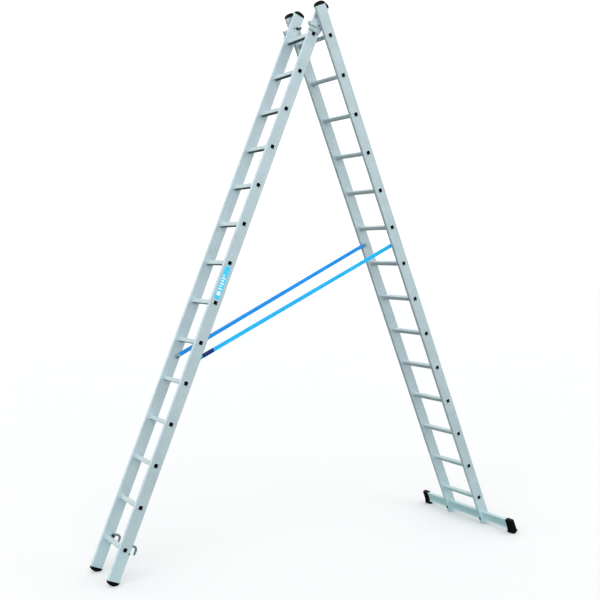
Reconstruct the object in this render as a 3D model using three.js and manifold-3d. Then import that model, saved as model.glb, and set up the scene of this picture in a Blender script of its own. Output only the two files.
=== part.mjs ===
// Two-section aluminium ladder standing as an A-frame: a wide base section with a stabilizer bar,
// and a narrower upper section that hinges and slides in guides at the head of the base section.
// Millimetres, +Z up. +X is the side the base section stands on, -Y is the near side.
// Each section is drawn in its own frame: x across the rail's depth, z up the rail,
// with the centre of its top rung at the origin.
import * as THREE from "three";
import { mergeVertices } from "three/addons/utils/BufferGeometryUtils.js";
import Module from "manifold-3d";

const wasm = await Module();
wasm.setup();

// Driving dimensions
const legAngle = THREE.MathUtils.degToRad(22.23); // each section from the vertical
const apexHeight = 3724.4; // where the centre planes of the two sections cross
const apexX = -1.9; // puts the middle of the footprint on the origin
const rungCount = 14;
const rungPitch = 280;
const lastRung = (rungCount - 1) * rungPitch;
const gap = 0.3; // between pieces that touch

const rail = { depth: 83, wall: 1.6, corner: 4, boreCorner: 2 };
const pierce = 1; // how far a cutting solid runs past what it cuts
const base = {
  width: 427,
  thick: 25,
  apexToRung: 149.5,
  top: -209, // rail ends, measured down from the top rung
  bottom: 3858,
  endCut: 15,
};
const fly = {
  width: 348,
  thick: 18,
  apexToRung: 144.1,
  top: -213,
  bottom: 3846.9,
};
const rung = {
  size: 29,
  wall: 1.6,
  corner: 4,
  flange: 2.2, // turned over outside the rails
  flangeThick: 1,
  bead: 1.2, // swelled inside them
  beadWidth: 3,
};
const cap = { dome: 27, band: 4, overhang: 1, steps: 12 };

const bar = {
  front: -12,
  back: 11,
  top: 3764,
  bottom: 3842,
  wall: 2.5,
  lip: 10, // height of the flared lower edge
  lipOut: 4,
  lipEdge: 3,
  halfLength: 520,
};
const boot = {
  inner: 478,
  outer: 535,
  front: -17,
  back: 19,
  top: 3759,
  corner: 5,
  ankle: 3826, // where the front starts to flare to the toe
  heelAnkle: 3846,
  toe: -26,
  soleBack: -5, // the sole is level from the toe to here, then rises to the heel
  heel: 26,
  heelBottom: 3862,
  edge: 7,
};
const barBolt = { s: 3811, y: 201, shank: 5, sides: 12, head: 8, headThick: 6 };
const hex = 6;

const pivot = { fromBase: -70, baseS: -95.3, fromFly: -12, flyS: -56.3, radius: 8, play: 0.4 };
const bracket = {
  inner: 182.2,
  front: -107,
  lip: 3.5,
  lipInner: 158,
  top: -134,
  bottom: -101.8,
  lipBottom: -104.5,
  back: 24,
  heel: -84,
  boss: 13,
  bossFrom: 200, // degrees of the boss's round underside
  bossTo: 340,
  ramp: -92,
  shoulder: -40,
  corner: 6,
};
const shoe = {
  inner: 176.3,
  outer: 180.3,
  lip: 3,
  lipInner: 162,
  play: 0.4,
  top: -76,
  foot: -12,
  heel: 12,
  round: 16,
  shoulder: -20,
  rise: 20,
};

const hook = {
  thick: 10,
  mouth: 58,
  seat: -11.5,
  inner: 15,
  outer: 26.5,
  tip: 20.6,
  heel: 16.5,
  web: 6, // how far the plate reaches below the seat's centre
  shoulder: 22,
  corner: 5,
};
const pawl = { n: 34, s: 17, hub: 7, reach: 12, radius: 5, thick: 4 };
const latch = {
  n: 16,
  s: -121,
  hub: 7,
  thick: 5,
  back: 30,
  depth: 29,
  inset: 9,
  thin: 11,
  rise: 21,
  offset: 2,
};

const strap = { width: 28, thick: 2, clear: 1.6, baseN: -15, baseS: 1524, flyN: 20, flyS: 2353 };
const anchor = { plate: 2.4, width: 34, height: 30, corner: 5, head: 7, headThick: 4 };
const label = { front: -21, back: 17, top: 1706, bottom: 1934, thick: 0.5, corner: 3 };

// Finishes
const finish = {
  aluminium: [0xc3cdd0, 0.42, 0.85],
  aluminiumRung: [0xccd5d8, 0.4, 0.85],
  aluminiumBar: [0xb4c2c4, 0.45, 0.8],
  zinc: [0x9aa3a6, 0.45, 0.8],
  blackPlastic: [0x16181a, 0.55, 0],
  darkPlastic: [0x1d2340, 0.5, 0],
  blueWebbing: [0x2e8fe6, 0.85, 0],
  blueFilm: [0x35b4ea, 0.4, 0],
};

// Solids: three.js shapes go in, manifold-3d joins and cuts them

function solid(geometry) {
  const bare = new THREE.BufferGeometry();
  bare.setAttribute("position", geometry.getAttribute("position"));
  bare.setIndex(geometry.index);
  const merged = mergeVertices(bare, 1e-4);
  return new wasm.Manifold(
    new wasm.Mesh({
      numProp: 3,
      vertProperties: merged.attributes.position.array,
      triVerts: new Uint32Array(merged.index.array),
    }),
  );
}

function geometryOf(body) {
  const mesh = body.getMesh();
  const made = new THREE.BufferGeometry();
  made.setAttribute("position", new THREE.BufferAttribute(mesh.vertProperties, mesh.numProp));
  made.setIndex(new THREE.BufferAttribute(mesh.triVerts, 1));
  const flat = made.toNonIndexed();
  flat.computeVertexNormals();
  return flat;
}

function extrusion(points, depth, hole) {
  const shape = new THREE.Shape(points.map(([x, y]) => new THREE.Vector2(x, y)));
  if (hole) shape.holes.push(new THREE.Path(hole.map(([x, y]) => new THREE.Vector2(x, y))));
  return new THREE.ExtrudeGeometry(shape, { depth, bevelEnabled: false });
}

// An outline in x and y, drawn out along z
function alongZ(points, z0, z1, hole) {
  return solid(extrusion(points, z1 - z0, hole).translate(0, 0, z0));
}

// An outline in x and z, drawn out along y
function alongY(points, y0, y1) {
  return solid(extrusion(points, y1 - y0).rotateX(Math.PI / 2).translate(0, y1, 0));
}

function block(x0, x1, y0, y1, z0, z1) {
  const box = new THREE.BoxGeometry(x1 - x0, y1 - y0, z1 - z0);
  return solid(box.translate((x0 + x1) / 2, (y0 + y1) / 2, (z0 + z1) / 2));
}

// A round bar along x or y
function rod(axis, radius, from, to, a, b, sides = 24) {
  const made = new THREE.CylinderGeometry(radius, radius, to - from, sides);
  if (axis === "x") return solid(made.rotateZ(Math.PI / 2).translate((from + to) / 2, a, b));
  return solid(made.translate(a, (from + to) / 2, b));
}

// A rectangle with its corners cut off
function trimmed(x0, x1, y0, y1, cut) {
  return [
    [x0 + cut, y0],
    [x1 - cut, y0],
    [x1, y0 + cut],
    [x1, y1 - cut],
    [x1 - cut, y1],
    [x0 + cut, y1],
    [x0, y1 - cut],
    [x0, y0 + cut],
  ];
}

function arc(x, y, rx, ry, from, to, steps) {
  return Array.from({ length: steps + 1 }, (_, i) => {
    const turn = THREE.MathUtils.degToRad(from + ((to - from) * i) / steps);
    return [x + rx * Math.cos(turn), y + ry * Math.sin(turn)];
  });
}

function squareAbout(size, cut, x = 0, z = 0) {
  const half = size / 2;
  return trimmed(x - half, x + half, z - half, z + half, cut);
}

// The two sides of the ladder: near is -Y, far is +Y
const sides = [
  ["near", -1],
  ["far", 1],
];

// Builds between two distances from the middle plane, on either side
function between(side, inner, outer) {
  return side < 0 ? [-outer, -inner] : [inner, outer];
}

// Sub-parts

function railTube(section, side) {
  const [y0, y1] = between(side, section.width / 2 - section.thick, section.width / 2);
  const half = rail.depth / 2;
  const outer = trimmed(-half, half, y0, y1, rail.corner);
  const skin = rail.wall;
  const bore = trimmed(-half + skin, half - skin, y0 + skin, y1 - skin, rail.boreCorner);
  const tube = alongZ(outer, -section.bottom, -section.top, bore.reverse());
  const size = rung.size + 2 * gap;
  const holes = Array.from({ length: rungCount }, (_, i) =>
    alongY(squareAbout(size, rung.corner, 0, -i * rungPitch), y0 - pierce, y1 + pierce),
  );
  return tube.subtract(wasm.Manifold.union(holes));
}

function barOutline(grow) {
  const front = bar.front - grow;
  const back = bar.back + grow;
  return [
    [front, -bar.bottom + bar.lip],
    [front - bar.lipOut, -bar.bottom + bar.lipEdge],
    [front - bar.lipOut, -bar.bottom - grow],
    [back, -bar.bottom - grow],
    [back, -bar.top + grow],
    [front, -bar.top + grow],
  ];
}

// Base rails are also cut for the stabilizer bar and the bolt that holds it, and lose the
// front corner of their lower end
function baseRail(side) {
  const [y0, y1] = between(side, base.width / 2 - base.thick, base.width / 2);
  const slot = alongY(barOutline(gap), y0 - pierce, y1 + pierce);
  const radius = barBolt.shank + gap;
  const bore = rod("x", radius, -rail.depth, bar.front, side * barBolt.y, -barBolt.s, barBolt.sides);
  const front = -rail.depth / 2 - pierce;
  const foot = -base.bottom - pierce;
  const corner = [
    [front, foot],
    [front + base.endCut, foot],
    [front, foot + base.endCut],
  ];
  const cuts = wasm.Manifold.union([slot, bore, alongY(corner, y0 - pierce, y1 + pierce)]);
  return railTube(base, side).subtract(cuts);
}

// A square tube through both rails, flanged over outside them and beaded inside them
function rungTube(section) {
  const end = section.width / 2 + gap + rung.flangeThick;
  const tube = alongY(squareAbout(rung.size, rung.corner), -end, end);
  const collar = squareAbout(rung.size + 2 * rung.flange, rung.corner + 1);
  const bead = squareAbout(rung.size + 2 * rung.bead, rung.corner);
  const beadEnd = innerFace(section) - gap;
  const rings = sides.flatMap(([, side]) => [
    alongY(collar, ...between(side, end - rung.flangeThick, end)),
    alongY(bead, ...between(side, beadEnd - rung.beadWidth, beadEnd)),
  ]);
  const inside = squareAbout(rung.size - 2 * rung.wall, rung.corner - 1);
  const bore = alongY(inside, -end - pierce, end + pierce);
  return wasm.Manifold.union([tube, ...rings]).subtract(bore);
}

// A domed plastic cap over a rail end, at height z and facing up or down
function domeCap(section, side, z, facing) {
  const outer = section.width / 2 + cap.overhang;
  const [y0, y1] = between(side, innerFace(section) - cap.overhang, outer);
  const half = rail.depth / 2;
  const dome = arc(0, cap.band, half, cap.dome - cap.band, 0, 180, cap.steps);
  const outline = [[half - cap.overhang, gap], ...dome, [-half + cap.overhang, gap]];
  const placed = outline.map(([x, up]) => [x, z + facing * up]);
  return alongY(facing > 0 ? placed : placed.reverse(), y0, y1);
}

function stabilizerBar() {
  const outer = alongY(barOutline(0), -bar.halfLength, bar.halfLength);
  const end = bar.halfLength + pierce;
  const bore = alongY(barOutline(-bar.wall), -end, end);
  return outer.subtract(bore);
}

// Height in the base section's frame of the floor under a point x
function floorUnder(x) {
  const rungHeight = apexHeight - base.apexToRung * Math.cos(legAngle);
  return -(rungHeight + x * Math.sin(legAngle)) / Math.cos(legAngle);
}

// A rubber boot over each end of the bar, with a flared toe that is cut level to stand on
function stabilizerBoot(side) {
  const { front, back, corner, toe, heel, edge } = boot;
  const outline = [
    [toe, floorUnder(toe)],
    [boot.soleBack, floorUnder(boot.soleBack)],
    [heel, -boot.heelBottom],
    [heel, -boot.heelBottom + edge],
    [back, -boot.heelAnkle],
    [back, -boot.top - corner],
    [back - corner, -boot.top],
    [front + corner, -boot.top],
    [front, -boot.top - corner],
    [front, -boot.ankle],
    [toe, floorUnder(toe) + edge],
  ];
  const body = alongY(outline, ...between(side, boot.inner, boot.outer));
  const [y0, y1] = between(side, boot.inner - pierce, bar.halfLength + gap);
  const socket = alongY(barOutline(gap), y0, y1);
  return body.subtract(socket);
}

function stabilizerBolt(side) {
  const face = -rail.depth / 2 - gap;
  const y = side * barBolt.y;
  const head = rod("x", barBolt.head, face - barBolt.headThick, face, y, -barBolt.s, hex);
  const end = bar.front - gap;
  const shank = rod("x", barBolt.shank, face - pierce, end, y, -barBolt.s, barBolt.sides);
  return head.add(shank);
}

// Fixed to the inner face of the base rail: a band that reaches round the front of the upper
// section's rail, with a bored boss for the pivot
function guideBracket(side) {
  const outer = base.width / 2 - base.thick - gap;
  const { boss, back, corner } = bracket;
  const plate = [
    [bracket.front, -bracket.lipBottom],
    [bracket.ramp, -bracket.bottom],
    ...arc(pivot.fromBase, -pivot.baseS, boss, boss, bracket.bossFrom, bracket.bossTo, 7),
    [bracket.shoulder, -bracket.heel],
    [back - corner, -bracket.heel],
    [back, -bracket.heel + corner],
    [back, -bracket.top - corner],
    [back - corner, -bracket.top],
    [bracket.front, -bracket.top],
  ];
  const body = alongY(plate, ...between(side, bracket.inner, outer));
  const [y0, y1] = between(side, bracket.lipInner, outer);
  const front = bracket.front;
  const lip = block(front, front + bracket.lip, y0, y1, -bracket.lipBottom, -bracket.top);
  const radius = pivot.radius + pivot.play;
  const bore = rod("y", radius, -base.width, base.width, pivot.fromBase, -pivot.baseS);
  return body.add(lip).subtract(bore);
}

// Turns in the bracket on its own pin and holds the front and back of the sliding rail
function guideShoe(side) {
  const half = rail.depth / 2 + shoe.play;
  const edge = half + shoe.lip;
  const top = -shoe.top;
  const foot = -shoe.foot;
  const { heel, round } = shoe;
  const plate = [
    [-edge, foot],
    [edge - heel, foot],
    [edge, foot + heel],
    ...arc(edge - round, top - round, round, round, 0, 90, 4),
    [shoe.shoulder, top],
    [-edge, foot + shoe.rise],
  ];
  const body = alongY(plate, ...between(side, shoe.inner, shoe.outer));
  const [y0, y1] = between(side, shoe.lipInner, shoe.outer);
  const front = block(-edge, -half, y0, y1, foot, foot + round);
  const back = block(half, edge, y0, y1, foot + heel, top - round);
  const pinEnd = base.width / 2 - base.thick - 2 * gap;
  const pin = rod("y", pivot.radius, ...between(side, shoe.inner, pinEnd), pivot.fromFly, -pivot.flyS);
  return wasm.Manifold.union([body, front, back, pin]);
}

function innerFace(section) {
  return section.width / 2 - section.thick;
}

// A plate on the inner face of the upper section's rail, mouth down, that drops over a base rung
function rungHook(side) {
  const outer = innerFace(fly) - gap;
  const seat = -lastRung - hook.seat;
  const tip = -lastRung - hook.tip;
  const legOut = hook.mouth + hook.outer;
  const legIn = hook.mouth + hook.inner;
  const { heel, corner } = hook;
  const outline = [
    [heel, seat - hook.web + corner],
    [heel + corner, seat - hook.web],
    [hook.mouth - hook.inner, seat - hook.web],
    ...arc(hook.mouth, seat, hook.inner, hook.inner, 180, 0, 10),
    [legIn, tip + corner],
    [legIn + corner / 2, tip],
    [legOut - corner, tip],
    [legOut - corner / 5, tip + corner],
    ...arc(hook.mouth, seat, hook.outer, hook.outer, 0, 110, 10),
    [heel + corner, seat + hook.shoulder],
    [heel, seat + hook.shoulder - corner],
  ];
  return alongY(outline.reverse(), ...between(side, outer - hook.thick, outer));
}

// The small sprung catch that closes the mouth of the hook
function hookPawl(side) {
  const outer = innerFace(fly) - gap;
  const z = -lastRung - pawl.s;
  const outline = [
    ...arc(pawl.n, z, pawl.hub, pawl.hub, 90, 270, 6),
    ...arc(pawl.n + pawl.reach, z, pawl.radius, pawl.radius, -90, 90, 6),
  ];
  return alongY(outline, ...between(side, outer - pawl.thick, outer));
}

// A curved lever that turns on the inner face of the upper section's rail
function latchLever(side) {
  const outer = innerFace(fly) - gap;
  const z = -latch.s;
  const { hub, back, depth, inset, thin, rise } = latch;
  const middle = latch.n + latch.offset;
  const outline = [
    ...arc(latch.n, z, hub, hub, 120, 270, 5),
    ...arc(middle, z + rise, back, depth, -86, 6, 8),
    ...arc(middle, z + rise, back - inset, depth - thin, 0, -84, 8),
  ];
  return alongY(outline, ...between(side, outer - latch.thick, outer));
}

// A clamp plate and bolt head over the end of a strap, on the inner face of a rail
function strapAnchor(section, side, n, s) {
  const face = innerFace(section) - 2 * strap.clear - strap.thick;
  const plate = trimmed(
    n - anchor.width / 2,
    n + anchor.width / 2,
    -s - anchor.height / 2,
    -s + anchor.height / 2,
    anchor.corner,
  );
  const body = alongY(plate, ...between(side, face - anchor.plate, face));
  const head = between(side, face - anchor.plate - anchor.headThick, face - anchor.plate / 2);
  return body.add(rod("y", anchor.head, ...head, n, -s, hex));
}

function flyLabel() {
  const face = fly.width / 2 + gap;
  const outline = trimmed(label.front, label.back, -label.bottom, -label.top, label.corner);
  return alongY(outline, -face - label.thick, -face);
}

// Assembly

const root = new THREE.Group();

function sectionGroup(section, lean) {
  const group = new THREE.Group();
  const drop = section.apexToRung;
  group.rotation.y = -lean * legAngle;
  group.position.set(
    apexX + lean * drop * Math.sin(legAngle),
    0,
    apexHeight - drop * Math.cos(legAngle),
  );
  root.add(group);
  return group;
}

const baseGroup = sectionGroup(base, 1);
const flyGroup = sectionGroup(fly, -1);

function add(group, name, body, look) {
  const [color, roughness, metalness] = finish[look];
  const material = new THREE.MeshStandardMaterial({ color, roughness, metalness });
  const mesh = new THREE.Mesh(geometryOf(body), material);
  mesh.name = name;
  group.add(mesh);
  return mesh;
}

function addRungs(group, section, prefix) {
  for (let i = 0; i < rungCount; i++) {
    const name = prefix + String(i + 1).padStart(2, "0");
    add(group, name, rungTube(section), "aluminiumRung").position.z = -i * rungPitch;
  }
}

function pointInRoot(group, x, y, z) {
  group.updateMatrixWorld(true);
  return group.localToWorld(new THREE.Vector3(x, y, z));
}

// A taut flat strap from the inside of the base rail to the inside of the upper section's rail
function addStrap(name, side) {
  const yBase = side * (innerFace(base) - strap.clear - strap.thick / 2);
  const yFly = side * (innerFace(fly) - strap.clear - strap.thick / 2);
  const from = pointInRoot(baseGroup, strap.baseN, yBase, -strap.baseS);
  const to = pointInRoot(flyGroup, strap.flyN, yFly, -strap.flyS);
  const end = strap.width / 2;
  const run = to.clone().sub(from);
  const length = run.length() + 2 * end;
  const geometry = new THREE.BoxGeometry(length, strap.thick, strap.width);
  const mesh = add(root, name, solid(geometry), "blueWebbing");
  const along = run.clone().normalize();
  const up = new THREE.Vector3(-along.z, 0, along.x).normalize().multiplyScalar(-1);
  const across = new THREE.Vector3().crossVectors(up, along).normalize();
  mesh.quaternion.setFromRotationMatrix(new THREE.Matrix4().makeBasis(along, across, up));
  mesh.position.copy(from.clone().add(to).multiplyScalar(0.5));
}

for (const [where, side] of sides) {
  add(baseGroup, "base_rail_" + where, baseRail(side), "aluminium");
  add(flyGroup, "fly_rail_" + where, railTube(fly, side), "aluminium");
  add(baseGroup, "base_top_cap_" + where, domeCap(base, side, -base.top, 1), "blackPlastic");
  add(flyGroup, "fly_top_cap_" + where, domeCap(fly, side, -fly.top, 1), "blackPlastic");
  add(flyGroup, "fly_foot_" + where, domeCap(fly, side, -fly.bottom, -1), "blackPlastic");
  add(baseGroup, "stabilizer_boot_" + where, stabilizerBoot(side), "blackPlastic");
  add(baseGroup, "stabilizer_bolt_" + where, stabilizerBolt(side), "zinc");
  add(baseGroup, "guide_bracket_" + where, guideBracket(side), "aluminium");
  add(flyGroup, "guide_shoe_" + where, guideShoe(side), "aluminium");
  add(flyGroup, "rung_hook_" + where, rungHook(side), "zinc");
  add(flyGroup, "hook_pawl_" + where, hookPawl(side), "zinc");
  add(flyGroup, "latch_lever_" + where, latchLever(side), "darkPlastic");
  const baseAnchor = strapAnchor(base, side, strap.baseN, strap.baseS);
  const flyAnchor = strapAnchor(fly, side, strap.flyN, strap.flyS);
  add(baseGroup, "base_strap_anchor_" + where, baseAnchor, "zinc");
  add(flyGroup, "fly_strap_anchor_" + where, flyAnchor, "zinc");
  addStrap("strap_" + where, side);
}
add(baseGroup, "stabilizer_bar", stabilizerBar(), "aluminiumBar");
add(flyGroup, "label", flyLabel(), "blueFilm");
addRungs(baseGroup, base, "base_rung_");
addRungs(flyGroup, fly, "fly_rung_");

export default root;
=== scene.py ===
import math
import bmesh
import bpy
from mathutils import Matrix, Vector


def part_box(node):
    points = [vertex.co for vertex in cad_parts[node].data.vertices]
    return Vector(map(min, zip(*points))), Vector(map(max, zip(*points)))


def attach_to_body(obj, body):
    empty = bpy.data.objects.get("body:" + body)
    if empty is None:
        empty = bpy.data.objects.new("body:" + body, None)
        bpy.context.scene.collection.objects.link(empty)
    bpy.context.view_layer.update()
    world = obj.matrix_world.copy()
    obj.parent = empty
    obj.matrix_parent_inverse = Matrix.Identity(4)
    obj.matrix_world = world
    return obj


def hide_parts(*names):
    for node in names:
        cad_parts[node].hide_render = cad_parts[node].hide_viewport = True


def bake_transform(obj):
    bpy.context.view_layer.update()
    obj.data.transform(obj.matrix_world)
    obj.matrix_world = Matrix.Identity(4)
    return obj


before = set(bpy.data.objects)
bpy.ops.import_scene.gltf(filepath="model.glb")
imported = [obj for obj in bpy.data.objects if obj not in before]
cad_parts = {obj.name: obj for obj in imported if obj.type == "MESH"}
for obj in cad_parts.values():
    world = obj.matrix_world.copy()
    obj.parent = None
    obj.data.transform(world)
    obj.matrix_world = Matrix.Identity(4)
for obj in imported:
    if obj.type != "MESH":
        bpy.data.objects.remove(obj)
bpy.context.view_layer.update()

# Where things are. Each section has its own frame: x across the rail depth, y across the ladder,
# z up the rail, with the middle of its top rung at the origin. All of it comes from the CAD rungs.
sides = {"near": -1, "far": 1}
rungCount = 14


def nodeCentre(name):
    low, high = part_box(name)
    return (low + high) / 2


def sectionFrame(prefix):
    top = nodeCentre(prefix + "_rung_01")
    bottom = nodeCentre(prefix + "_rung_%02d" % rungCount)
    up = (top - bottom).normalized()
    across = Vector((0, 1, 0))
    depth = across.cross(up)
    turn = Matrix((depth, across, up)).transposed().to_4x4()
    return Matrix.Translation(top) @ turn


baseFrame = sectionFrame("base")
flyFrame = sectionFrame("fly")
rungPitch = (nodeCentre("base_rung_01") - nodeCentre("base_rung_14")).length / (rungCount - 1)

base = {"prefix": "base", "body": "base_section", "frame": baseFrame, "width": 0.427, "thick": 0.025,
        "top": 0.209, "bottom": -3.858, "endCut": 0.015}
fly = {"prefix": "fly", "body": "upper_section", "frame": flyFrame, "width": 0.348, "thick": 0.018,
       "top": 0.213, "bottom": -3.8469, "endCut": 0.0}


def innerFace(section):
    return section["width"] / 2 - section["thick"]


def between(side, inner, outer):
    return (-outer, -inner) if side < 0 else (inner, outer)


# Camera
cameraSetup = {
    "place": (-3.5359, -5.9732, 2.0947),
    "tilt": 86.0,        # degrees from straight down
    "roll": -0.134,
    "heading": -30.013,
    "lens": 58.63,
    "shift": (0.0059, 0.0377),
}


def makeCamera():
    data = bpy.data.cameras.new("studioCamera")
    data.lens = cameraSetup["lens"]
    data.sensor_width = 36
    data.shift_x, data.shift_y = cameraSetup["shift"]
    data.clip_end = 200
    camera = bpy.data.objects.new("studioCamera", data)
    bpy.context.scene.collection.objects.link(camera)
    camera.location = cameraSetup["place"]
    angles = (cameraSetup["tilt"], cameraSetup["roll"], cameraSetup["heading"])
    camera.rotation_euler = [math.radians(a) for a in angles]
    bpy.context.scene.camera = camera


makeCamera()
print("camera placed")


# Shader groups: each effect is built once and used by several finishes

def makeGroup(name, inputs, outputs):
    group = bpy.data.node_groups.new(name, "ShaderNodeTree")
    for label, kind, value in inputs:
        socket = group.interface.new_socket(name=label, in_out="INPUT", socket_type=kind)
        if value is not None:
            socket.default_value = value
    for label, kind in outputs:
        group.interface.new_socket(name=label, in_out="OUTPUT", socket_type=kind)
    source = group.nodes.new("NodeGroupInput")
    sink = group.nodes.new("NodeGroupOutput")
    return group, source.outputs, sink.inputs


def addNode(tree, kind, settings=None, inputs=None):
    node = tree.nodes.new(kind)
    for key, value in (settings or {}).items():
        setattr(node, key, value)
    for key, value in (inputs or {}).items():
        if isinstance(value, bpy.types.NodeSocket):
            tree.links.new(value, node.inputs[key])
        else:
            node.inputs[key].default_value = value
    return node


def maths(tree, operation, first, second=None, clamp=False):
    node = addNode(tree, "ShaderNodeMath", {"operation": operation, "use_clamp": clamp})
    for i, value in enumerate((first, second)):
        if value is None:
            continue
        if isinstance(value, bpy.types.NodeSocket):
            tree.links.new(value, node.inputs[i])
        else:
            node.inputs[i].default_value = value
    return node.outputs[0]


def remap(tree, value, low, high, toLow=0.0, toHigh=1.0):
    limits = {0: value, 1: low, 2: high, 3: toLow, 4: toHigh}
    node = addNode(tree, "ShaderNodeMapRange", {"clamp": True}, limits)
    return node.outputs[0]


def noise(tree, vector, scale, detail=3.0, roughness=0.5):
    node = addNode(tree, "ShaderNodeTexNoise", None,
                   {"Vector": vector, "Scale": scale, "Detail": detail, "Roughness": roughness})
    return node.outputs[0]


def stretched(tree, vector, amounts):
    node = addNode(tree, "ShaderNodeVectorMath", {"operation": "MULTIPLY"}, {0: vector, 1: amounts})
    return node.outputs[0]


def makeDrawnLines():
    # fine lines that an extrusion die leaves along the piece, and slow changes of tone
    group, source, sink = makeGroup(
        "drawnLines",
        [("Vector", "NodeSocketVector", None), ("Stretch", "NodeSocketVector", (400, 400, 4)),
         ("Blotch Scale", "NodeSocketFloat", 9.0)],
        [("Lines", "NodeSocketFloat"), ("Tone", "NodeSocketFloat")])
    pulled = stretched(group, source["Vector"], source["Stretch"])
    fine = noise(group, pulled, 1.0, 4.0, 0.6)
    coarse = noise(group, pulled, 0.22, 2.0)
    lines = maths(group, "ADD", maths(group, "MULTIPLY", fine, 0.6), maths(group, "MULTIPLY", coarse, 0.4))
    group.links.new(lines, sink["Lines"])
    group.links.new(noise(group, source["Vector"], source["Blotch Scale"], 3.0, 0.55), sink["Tone"])
    return group


def makeEdgeWear():
    # 1 on sharp edges, broken up, 0 on flats
    group, source, sink = makeGroup(
        "edgeWear",
        [("Vector", "NodeSocketVector", None), ("Radius", "NodeSocketFloat", 0.0015),
         ("Breakup", "NodeSocketFloat", 60.0)],
        [("Mask", "NodeSocketFloat")])
    rounded = addNode(group, "ShaderNodeBevel", {"samples": 4}, {"Radius": source["Radius"]})
    flat = addNode(group, "ShaderNodeNewGeometry")
    along = addNode(group, "ShaderNodeVectorMath", {"operation": "DOT_PRODUCT"},
                    {0: rounded.outputs[0], 1: flat.outputs["Normal"]})
    edge = remap(group, along.outputs["Value"], 0.995, 0.80)
    broken = remap(group, noise(group, source["Vector"], source["Breakup"], 4.0, 0.65), 0.35, 0.65)
    group.links.new(maths(group, "MULTIPLY", edge, broken, clamp=True), sink["Mask"])
    return group


def makeDust():
    # settles on what faces up
    group, source, sink = makeGroup(
        "dust",
        [("Vector", "NodeSocketVector", None), ("Scale", "NodeSocketFloat", 30.0),
         ("Amount", "NodeSocketFloat", 0.3)],
        [("Mask", "NodeSocketFloat")])
    facing = addNode(group, "ShaderNodeNewGeometry")
    split = addNode(group, "ShaderNodeSeparateXYZ", None, {0: facing.outputs["Normal"]})
    up = remap(group, split.outputs["Z"], 0.1, 0.95)
    patch = remap(group, noise(group, source["Vector"], source["Scale"], 5.0, 0.6), 0.35, 0.75)
    full = maths(group, "MULTIPLY", up, patch)
    group.links.new(maths(group, "MULTIPLY", full, source["Amount"], clamp=True), sink["Mask"])
    return group


def makeGrain():
    # moulded or cast skin: fine pimples and slower tone
    group, source, sink = makeGroup(
        "grain",
        [("Vector", "NodeSocketVector", None), ("Scale", "NodeSocketFloat", 900.0)],
        [("Height", "NodeSocketFloat"), ("Tone", "NodeSocketFloat")])
    cells = addNode(group, "ShaderNodeTexVoronoi", {"feature": "F1"},
                    {"Vector": source["Vector"], "Scale": source["Scale"]})
    soft = noise(group, source["Vector"], maths(group, "MULTIPLY", source["Scale"], 0.35), 3.0)
    height = maths(group, "ADD", maths(group, "MULTIPLY", cells.outputs["Distance"], 0.5), soft)
    group.links.new(height, sink["Height"])
    group.links.new(noise(group, source["Vector"], 25.0, 4.0), sink["Tone"])
    return group


def makeWeave():
    # warp and weft of flat webbing: x runs along the strap and z across it
    group, source, sink = makeGroup(
        "weave",
        [("Vector", "NodeSocketVector", None), ("Thread", "NodeSocketFloat", 0.0016)],
        [("Height", "NodeSocketFloat"), ("Shade", "NodeSocketFloat")])
    split = addNode(group, "ShaderNodeSeparateXYZ", None, {0: source["Vector"]})
    u = maths(group, "DIVIDE", split.outputs["X"], source["Thread"])
    v = maths(group, "DIVIDE", split.outputs["Z"], source["Thread"])
    slant = maths(group, "ADD", u, maths(group, "MULTIPLY", v, 0.5))
    ribs = maths(group, "ABSOLUTE", maths(group, "SINE", maths(group, "MULTIPLY", slant, math.pi)))
    cross = maths(group, "ABSOLUTE", maths(group, "SINE", maths(group, "MULTIPLY", v, math.pi)))
    height = maths(group, "MULTIPLY", ribs, cross)
    fuzz = noise(group, source["Vector"], 1500.0, 2.0)
    group.links.new(maths(group, "ADD", height, maths(group, "MULTIPLY", fuzz, 0.25)), sink["Height"])
    group.links.new(remap(group, height, 0.0, 0.7, 0.72, 1.0), sink["Shade"])
    return group


groups = {"lines": makeDrawnLines(), "wear": makeEdgeWear(), "dust": makeDust(), "grain": makeGrain(),
          "weave": makeWeave()}
print("shader groups built:", ", ".join(groups))


# Finishes

def startMaterial(name, metallic, roughness):
    material = bpy.data.materials.new(name)
    material.use_nodes = True
    tree = material.node_tree
    shader = tree.nodes["Principled BSDF"]
    shader.inputs["Metallic"].default_value = metallic
    shader.inputs["Roughness"].default_value = roughness
    coords = addNode(tree, "ShaderNodeTexCoord").outputs["Object"]
    return material, tree, shader, coords


def useGroup(tree, key, vector, **values):
    node = tree.nodes.new("ShaderNodeGroup")
    node.node_tree = groups[key]
    tree.links.new(vector, node.inputs["Vector"])
    for label, value in values.items():
        node.inputs[label.replace("_", " ")].default_value = value
    return node.outputs


def mixColour(tree, factor, first, second):
    node = addNode(tree, "ShaderNodeMix", {"data_type": "RGBA"}, {"Factor": factor})
    for index, value in ((6, first), (7, second)):
        if isinstance(value, bpy.types.NodeSocket):
            tree.links.new(value, node.inputs[index])
        else:
            node.inputs[index].default_value = (*value, 1)
    return node.outputs[2]


def bump(tree, shader, height, strength, distance):
    values = {"Strength": strength, "Distance": distance, "Height": height}
    node = addNode(tree, "ShaderNodeBump", None, values)
    tree.links.new(node.outputs[0], shader.inputs["Normal"])


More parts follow.
